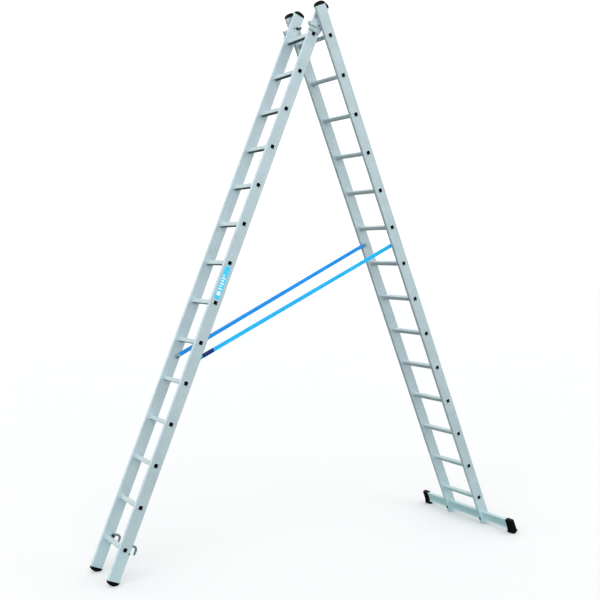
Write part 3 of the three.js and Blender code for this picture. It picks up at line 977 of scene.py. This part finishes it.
def makeBarBolt(where, side):
    bm = bmesh.new()
    face = -railShape["depth"] / 2
    spot = facing((face - 0.0001, side * boltShape["y"], boltShape["z"]), (-1, 0, 0))
    addHexBolt(bm, spot, boltShape["size"], boltShape["height"], boltShape["washer"])
    bolt = finishMesh("stabilizer_bolt_head_" + where, bm, baseFrame, [steelFinish])
    attach(bolt, "base_section", "zinc_steel", "stabilizer_bolt_" + where)


makeBar()
for where, side in sides.items():
    makeBoot(where, side)
    makeBarBolt(where, side)
print("stabilizer made")


# Head of the ladder: bracket on the base rail, shoe that turns in it, lever inside the upper rail
pivotShape = {"base": (-0.070, 0.0953), "fly": (-0.012, 0.0563), "radius": 0.008}
bracketShape = {
    "inner": 0.1822, "front": -0.107, "lip": 0.0035, "lipInner": 0.158, "lipBottom": 0.1045,
    "top": 0.134, "bottom": 0.1018, "back": 0.024, "heel": 0.084, "boss": 0.013, "ramp": -0.092,
    "shoulder": -0.040, "corner": 0.006,
    "ribBottom": 0.1165, "ribTop": 0.1215,
    "rivetsX": (-0.026, 0.012), "rivetsZ": (0.096, 0.122), "rivet": 0.0046, "rivetHeight": 0.0013,
}
shoeShape = {
    "inner": 0.1763, "outer": 0.1803, "lip": 0.003, "lipInner": 0.162, "play": 0.0004, "top": 0.076,
    "foot": 0.012, "heel": 0.012, "round": 0.016, "shoulder": -0.020, "rise": 0.020, "pin": 0.008,
}
leverShape = {
    "x": 0.016, "z": 0.121, "hub": 0.008, "thick": 0.005,
    "back": 0.031, "depth": 0.030,      # the outer curve's two radii
    "inset": 0.012, "thin": 0.014,      # how much smaller the inner curve's are
    "rise": 0.021, "offset": 0.002,
    "rivet": 0.0042, "stop": 0.0046, "stopX": -0.0035, "stopZ": 0.1105,
    "coil": 0.0056, "wire": 0.0004, "turns": 3.5,
}


def makeBracket(where, side):
    shape = bracketShape
    px, pz = pivotShape["base"]
    back, corner = shape["back"], shape["corner"]
    outline = [(shape["front"], shape["lipBottom"]), (shape["ramp"], shape["bottom"])]
    outline += arc(px, pz, shape["boss"], shape["boss"], 200, 340, 12)
    top, heel = shape["top"], shape["heel"]
    outline += [(shape["shoulder"], heel), (back - corner, heel), (back, heel + corner),
                (back, top - corner), (back - corner, top), (shape["front"], top)]
    face = innerFace(base) - 0.0003
    bm = bmesh.new()
    addSlab(bm, softened(outline, 0.0015, 2), *between(side, shape["inner"], face), 0.0009)
    y0, y1 = between(side, shape["lipInner"], face - 0.001)
    front = shape["front"]
    panel = softened(oblong(front, front + shape["lip"], shape["lipBottom"], top), 0.0012, 3)
    addSlab(bm, panel, y0, y1, 0.0012, 3)
    # a pressed rib along the band
    rib = softened(oblong(front + 0.014, shape["shoulder"] - 0.048, shape["ribBottom"],
                          shape["ribTop"]), 0.0024)
    addSlab(bm, rib, *between(side, shape["inner"] - 0.0010, shape["inner"] + 0.001), 0.0008)
    bracket = finishMesh("guide_bracket_plate_" + where, bm, baseFrame, [castFinish])
    attach(bracket, "base_section", "bracket_aluminium", "guide_bracket_" + where)

    bm = bmesh.new()
    for x in shape["rivetsX"]:
        for z in shape["rivetsZ"]:
            spot = facing((x, side * (shape["inner"] + 0.0002), z), (0, -side, 0))
            addRivet(bm, spot, shape["rivet"], shape["rivetHeight"])
    rivets = finishMesh("guide_bracket_rivets_" + where, bm, baseFrame, [zincFinish], 50.0)
    attach(rivets, "base_section", "bracket_aluminium")


def makeShoe(where, side):
    shape = shoeShape
    half = railShape["depth"] / 2 + shape["play"]
    edge = half + shape["lip"]
    top, foot, heel, bend = shape["top"], shape["foot"], shape["heel"], shape["round"]
    outline = [(-edge, foot), (edge - heel, foot), (edge, foot + heel)]
    outline += arc(edge - bend, top - bend, bend, bend, 0, 90, 10)
    outline += [(shape["shoulder"], top), (-edge, foot + shape["rise"])]
    bm = bmesh.new()
    addSlab(bm, softened(outline, 0.002, 3), *between(side, shape["inner"], shape["outer"]), 0.0009)
    y0, y1 = between(side, shape["lipInner"], shape["outer"] - 0.0005)
    front = oblong(-edge, -half, foot, foot + bend)
    rear = oblong(half, edge, foot + heel, top - bend)
    for panel in (front, rear):
        addSlab(bm, softened(panel, 0.0012, 3), y0, y1, 0.0009)
    px, pz = pivotShape["fly"]
    radius, length = pivotShape["radius"], shape["pin"]
    pin = [(radius, 0.0), (radius, length - 0.0008), (radius - 0.0008, length)]
    start = Vector((px, side * (shape["outer"] - 0.001), pz))
    addTurned(bm, facing(start, (0, side, 0)), pin, 32)
    shoe = finishMesh("guide_shoe_plate_" + where, bm, flyFrame, [castFinish])
    attach(shoe, "pivot_guide", "bracket_aluminium", "guide_shoe_" + where)


def makeLever(where, side):
    shape = leverShape
    x, z, hub = shape["x"], shape["z"], shape["hub"]
    back, depth = shape["back"], shape["depth"]
    face = innerFace(fly) - 0.0003
    middle, level = x + shape["offset"], z + shape["rise"]
    outline = arc(x, z, hub, hub, 120, 270, 10)
    outline += arc(middle, level, back, depth, -86, 6, 16)
    outline += arc(middle, level, back - shape["inset"], depth - shape["thin"], 0, -84, 16)
    bm = bmesh.new()
    addSlab(bm, softened(outline, 0.0012, 2), *between(side, face - shape["thick"], face), 0.0011, 3)
    lever = finishMesh("latch_lever_arm_" + where, bm, flyFrame, [leverFinish])
    attach(lever, "latch_" + where, "latch_plastic", "latch_lever_" + where)

    bm = bmesh.new()
    hubSpot = facing((x, side * (face - shape["thick"]), z), (0, -side, 0))
    addRivet(bm, hubSpot, shape["rivet"], 0.0022)
    stopSpot = facing((shape["stopX"], side * (face - 0.0002), shape["stopZ"]), (0, -side, 0))
    addRivet(bm, stopSpot, shape["stop"], 0.0024, 1)
    # a torsion spring round the pivot with its arm on the stop rivet
    coil = []
    perTurn = 20
    for i in range(int(shape["turns"] * perTurn)):
        t = 2 * math.pi * i / perTurn
        depthHere = face - 0.0060 - 0.000066 * i
        coilX, coilZ = x + shape["coil"] * math.cos(t), z + shape["coil"] * math.sin(t)
        coil.append(Vector((coilX, side * depthHere, coilZ)))
    coil.append(Vector((shape["stopX"] - 0.0005, side * (face - 0.004), shape["stopZ"] + 0.004)))
    addWire(bm, coil, shape["wire"])
    trim = finishMesh("latch_pivot_" + where, bm, flyFrame, [steelFinish, leverFinish], 50.0)
    attach(trim, "upper_section", "zinc_steel")


for where, side in sides.items():
    makeBracket(where, side)
    makeShoe(where, side)
    makeLever(where, side)
print("head fittings made")


# Rung hooks at the foot of the upper section, each with its catch
hookShape = {
    "thick": 0.010, "mouth": 0.058, "seat": 0.0115, "inner": 0.015, "outer": 0.0290, "tip": -0.0206,
    "heel": 0.0165, "web": 0.006, "shoulder": 0.022, "corner": 0.005,
    "boltX": 0.0265, "boltRise": 0.008,
}
pawlShape = {"x": 0.034, "z": -0.017, "hub": 0.007, "reach": 0.012, "radius": 0.005, "thick": 0.004}


def makeHook(where, side):
    shape = hookShape
    level = -(rungCount - 1) * rungPitch
    seat, tip = level + shape["seat"], level + shape["tip"]
    mouth, inner, outer = shape["mouth"], shape["inner"], shape["outer"]
    heel, corner = shape["heel"], shape["corner"]
    legIn, legOut = mouth + inner, mouth + outer
    outline = [(heel, seat - shape["web"] + corner), (heel + corner, seat - shape["web"]),
               (mouth - inner, seat - shape["web"])]
    outline += arc(mouth, seat, inner, inner, 180, 0, 22)
    outline += [(legIn, tip + corner), (legIn + corner / 2, tip), (legOut - corner, tip),
                (legOut - corner / 5, tip + corner)]
    outline += arc(mouth, seat, outer, outer, 0, 110, 18)
    outline += [(heel + corner, seat + shape["shoulder"]), (heel, seat + shape["shoulder"] - corner)]
    face = innerFace(fly) - 0.0003
    bm = bmesh.new()
    addSlab(bm, softened(outline, 0.0015, 2), *between(side, face - shape["thick"], face), 0.0009, 3)
    hook = finishMesh("rung_hook_plate_" + where, bm, flyFrame, [zincFinish])
    attach(hook, "upper_section", "zinc_steel", "rung_hook_" + where)

    bm = bmesh.new()
    boltPoint = (shape["boltX"], side * (face - shape["thick"] + 0.0001), seat + shape["boltRise"])
    addHexBolt(bm, facing(boltPoint, (0, -side, 0)), 0.0056, 0.0042, 0.0080)
    bolt = finishMesh("rung_hook_bolt_" + where, bm, flyFrame, [steelFinish])
    attach(bolt, "upper_section", "zinc_steel")

    x, z = pawlShape["x"], level + pawlShape["z"]
    outline = arc(x, z, pawlShape["hub"], pawlShape["hub"], 90, 270, 12)
    outline += arc(x + pawlShape["reach"], z, pawlShape["radius"], pawlShape["radius"], -90, 90, 12)
    bm = bmesh.new()
    addSlab(bm, outline, *between(side, face - pawlShape["thick"], face), 0.0008, 3)
    pawl = finishMesh("hook_pawl_plate_" + where, bm, flyFrame, [zincFinish])
    attach(pawl, "pawl_" + where, "zinc_steel", "hook_pawl_" + where)
    bm = bmesh.new()
    addRivet(bm, facing((x, side * (face - pawlShape["thick"]), z), (0, -side, 0)), 0.0036, 0.0020)
    addRivet(bm, facing((x, side * (fly["width"] / 2 - 0.0001), z), (0, side, 0)), 0.0046, 0.0014)
    pin = finishMesh("hook_pawl_pin_" + where, bm, flyFrame, [steelFinish], 50.0)
    attach(pin, "upper_section", "zinc_steel")


for where, side in sides.items():
    makeHook(where, side)
print("hooks and pawls made")


# Strap anchors: a stamped clamp plate, washer and bolt over each end of a strap
anchorShape = {"plate": 0.0022, "width": 0.034, "height": 0.030, "corner": 0.005, "size": 0.0058,
               "head": 0.0038, "washer": 0.0085}


def makeAnchor(section, where, side, spotXz):
    x, z = spotXz
    reach = innerFace(section) - 2 * strapParts["clear"] - strapParts["thick"] - 0.0004
    half, tall = anchorShape["width"] / 2, anchorShape["height"] / 2
    outline = softened(oblong(x - half, x + half, z - tall, z + tall), anchorShape["corner"], 5)
    bm = bmesh.new()
    under = reach - anchorShape["plate"]
    addSlab(bm, outline, *between(side, under, reach), 0.0006)
    spot = facing((x, side * (under + 0.0001), z), (0, -side, 0))
    addHexBolt(bm, spot, anchorShape["size"], anchorShape["head"], anchorShape["washer"])
    for dx in (-1, 1):
        # a turned-in flange at both edges reaches the rail
        edge = x + dx * (half - 0.0009)
        flange = oblong(edge - 0.0008, edge + 0.0008, z - tall + 0.006, z + tall - 0.006)
        addSlab(bm, flange, *between(side, reach - 0.001, innerFace(section)), 0.0003, 1)
    name = section["prefix"] + "_strap_anchor_"
    anchor = finishMesh(name + "clamp_" + where, bm, section["frame"], [zincFinish])
    attach(anchor, section["body"], "zinc_steel", name + where)


for where, side in sides.items():
    makeAnchor(base, where, side, strapParts["base"])
    makeAnchor(fly, where, side, strapParts["fly"])
print("strap anchors made")


# Label on the near upper rail: a plain blue film with blocks of white
labelShape = {
    "front": -0.021, "back": 0.017, "top": -1.706, "bottom": -1.934, "corner": 0.003, "thick": 0.0004,
    "film": (0.022, 0.63, 0.99), "print": (0.82, 0.93, 0.96),
    "square": 0.027, "squareRise": 0.026,
    "bars": (0.026, 0.017, 0.026, 0.021, 0.026, 0.013), "barHeight": 0.010, "barPitch": 0.0185,
}


def makeLabelFinish():
    material, tree, shader, coords = startMaterial("labelFilm", 0.0, 0.32)
    shader.inputs["Coat Weight"].default_value = 0.25
    shader.inputs["Coat Roughness"].default_value = 0.2
    tone = noise(tree, coords, 60.0, 3.0)
    film = labelShape["film"]
    deep = [c * 0.88 for c in film]
    tree.links.new(mixColour(tree, tone, deep, film), shader.inputs["Base Color"])
    tree.links.new(remap(tree, tone, 0.3, 0.7, 0.26, 0.38), shader.inputs["Roughness"])
    bump(tree, shader, noise(tree, coords, 400.0, 2.0), 0.05, 0.0002)
    return material


def makeInkFinish():
    material, tree, shader, coords = startMaterial("labelInk", 0.0, 0.4)
    tone = noise(tree, coords, 300.0, 4.0)
    ink = labelShape["print"]
    tree.links.new(mixColour(tree, tone, [c * 0.93 for c in ink], ink), shader.inputs["Base Color"])
    bump(tree, shader, tone, 0.04, 0.0001)
    return material


def makeLabel():
    shape = labelShape
    face = -fly["width"] / 2 - 0.0003
    bm = bmesh.new()
    outline = softened(oblong(shape["front"], shape["back"], shape["bottom"], shape["top"]),
                       shape["corner"], 5)
    addSlab(bm, outline, face - shape["thick"], face + 0.0002, 0.00008, 1)
    film = finishMesh("label_film", bm, flyFrame, [makeLabelFinish()])
    attach(film, "upper_section", "label_film", "label")

    # a square near the foot of the film, then a row of plain bars
    bm = bmesh.new()
    middle = (shape["front"] + shape["back"]) / 2
    ink = face - shape["thick"]
    size, low = shape["square"], shape["bottom"] + shape["squareRise"]
    blocks = [oblong(middle - size / 2, middle + size / 2, low, low + size)]
    left = middle - max(shape["bars"]) / 2
    for k, width in enumerate(shape["bars"]):
        start = low + size + 0.012 + k * shape["barPitch"]
        blocks.append(oblong(left, left + width, start, start + shape["barHeight"]))
    for block in blocks:
        addSlab(bm, softened(block, 0.0012, 3), ink - 0.00012, ink + 0.0001, 0)
    prints = finishMesh("label_print", bm, flyFrame, [makeInkFinish()])
    attach(prints, "upper_section", "label_film")


makeLabel()
print("label made")


# Studio: plain pale floor, soft light from above and all round, and one very soft sun
studio = {
    "floor": (0.713, 0.722, 0.729), "floorSize": 90.0,
    "sky": (1.0, 1.0, 1.0), "skyStrength": 1.12,
    "belowTint": (0.40, 0.86, 0.84), "below": 0.02,
    "bandTop": -0.10, "bandFoot": -0.24,    # between these the light dies away downwards
    "sun": {"from": (-0.52, -0.72, 0.46), "strength": 1.75, "angle": 75, "colour": (1.0, 0.995, 0.99)},
    "bounce": {"x": 1.15, "radius": 0.85, "colour": (0.55, 0.95, 0.94), "strength": 0.85},
}


def makeFloor():
    bm = bmesh.new()
    half = studio["floorSize"] / 2
    steps = 4
    marks = [-half + 2 * half * i / steps for i in range(steps + 1)]
    grid = [[bm.verts.new((x, y, -0.0002)) for x in marks] for y in marks]
    for j in range(steps):
        for i in range(steps):
            bm.faces.new((grid[j][i], grid[j][i + 1], grid[j + 1][i + 1], grid[j + 1][i]))
    material, tree, shader, coords = startMaterial("paleFloor", 0.0, 0.75)
    tone = noise(tree, coords, 0.6, 2.0)
    colour = studio["floor"]
    tree.links.new(mixColour(tree, tone, [c * 0.99 for c in colour], colour), shader.inputs["Base Color"])
    floor = finishMesh("studio_floor", bm, Matrix.Identity(4), [material])
    floor.visible_glossy = False
    floor.visible_diffuse = False


def makeBounce():
    # light that the floor sends back up round the two feet; it isn't seen itself
    look = studio["bounce"]
    bm = bmesh.new()
    count, radius = 48, look["radius"]
    turns = [2 * math.pi * i / count for i in range(count)]
    for x in (-look["x"], look["x"]):
        middle = bm.verts.new((x, 0, -0.003))
        rim = [bm.verts.new((x + radius * math.cos(t), radius * math.sin(t), -0.003)) for t in turns]
        for i in range(count):
            bm.faces.new((middle, rim[i - 1], rim[i]))
    material, tree, shader, coords = startMaterial("floorBounce", 0.0, 0.9)
    shader.inputs["Base Color"].default_value = (0, 0, 0, 1)
    glow = mixColour(tree, noise(tree, coords, 0.5), [c * 0.95 for c in look["colour"]], look["colour"])
    tree.links.new(glow, shader.inputs["Emission Color"])
    shader.inputs["Emission Strength"].default_value = look["strength"]
    bounce = finishMesh("floor_bounce", bm, Matrix.Identity(4), [material])
    bounce.visible_camera = False
    bounce.visible_shadow = False
    bounce.visible_glossy = False


def makeSky():
    world = bpy.data.worlds.new("softSky")
    bpy.context.scene.world = world
    world.use_nodes = True
    tree = world.node_tree
    back = tree.nodes["Background"]
    coords = addNode(tree, "ShaderNodeTexCoord").outputs["Generated"]
    split = addNode(tree, "ShaderNodeSeparateXYZ", None, {0: coords})
    level = remap(tree, split.outputs["Z"], studio["bandFoot"], studio["bandTop"], studio["below"], 1.0)
    tint = mixColour(tree, level, studio["belowTint"], studio["sky"])
    tree.links.new(tint, back.inputs["Color"])
    tree.links.new(maths(tree, "MULTIPLY", level, studio["skyStrength"]), back.inputs["Strength"])


def makeSun():
    look = studio["sun"]
    data = bpy.data.lights.new("softSun", "SUN")
    data.energy = look["strength"]
    data.angle = math.radians(look["angle"])
    data.color = look["colour"]
    lamp = bpy.data.objects.new("softSun", data)
    bpy.context.scene.collection.objects.link(lamp)
    lamp.location = Vector(look["from"]) * 8
    lamp.rotation_euler = (-Vector(look["from"])).to_track_quat("-Z", "Y").to_euler()


makeFloor()
makeBounce()
makeSky()
makeSun()
bpy.context.scene.view_settings.view_transform = "Standard"
print("studio set")
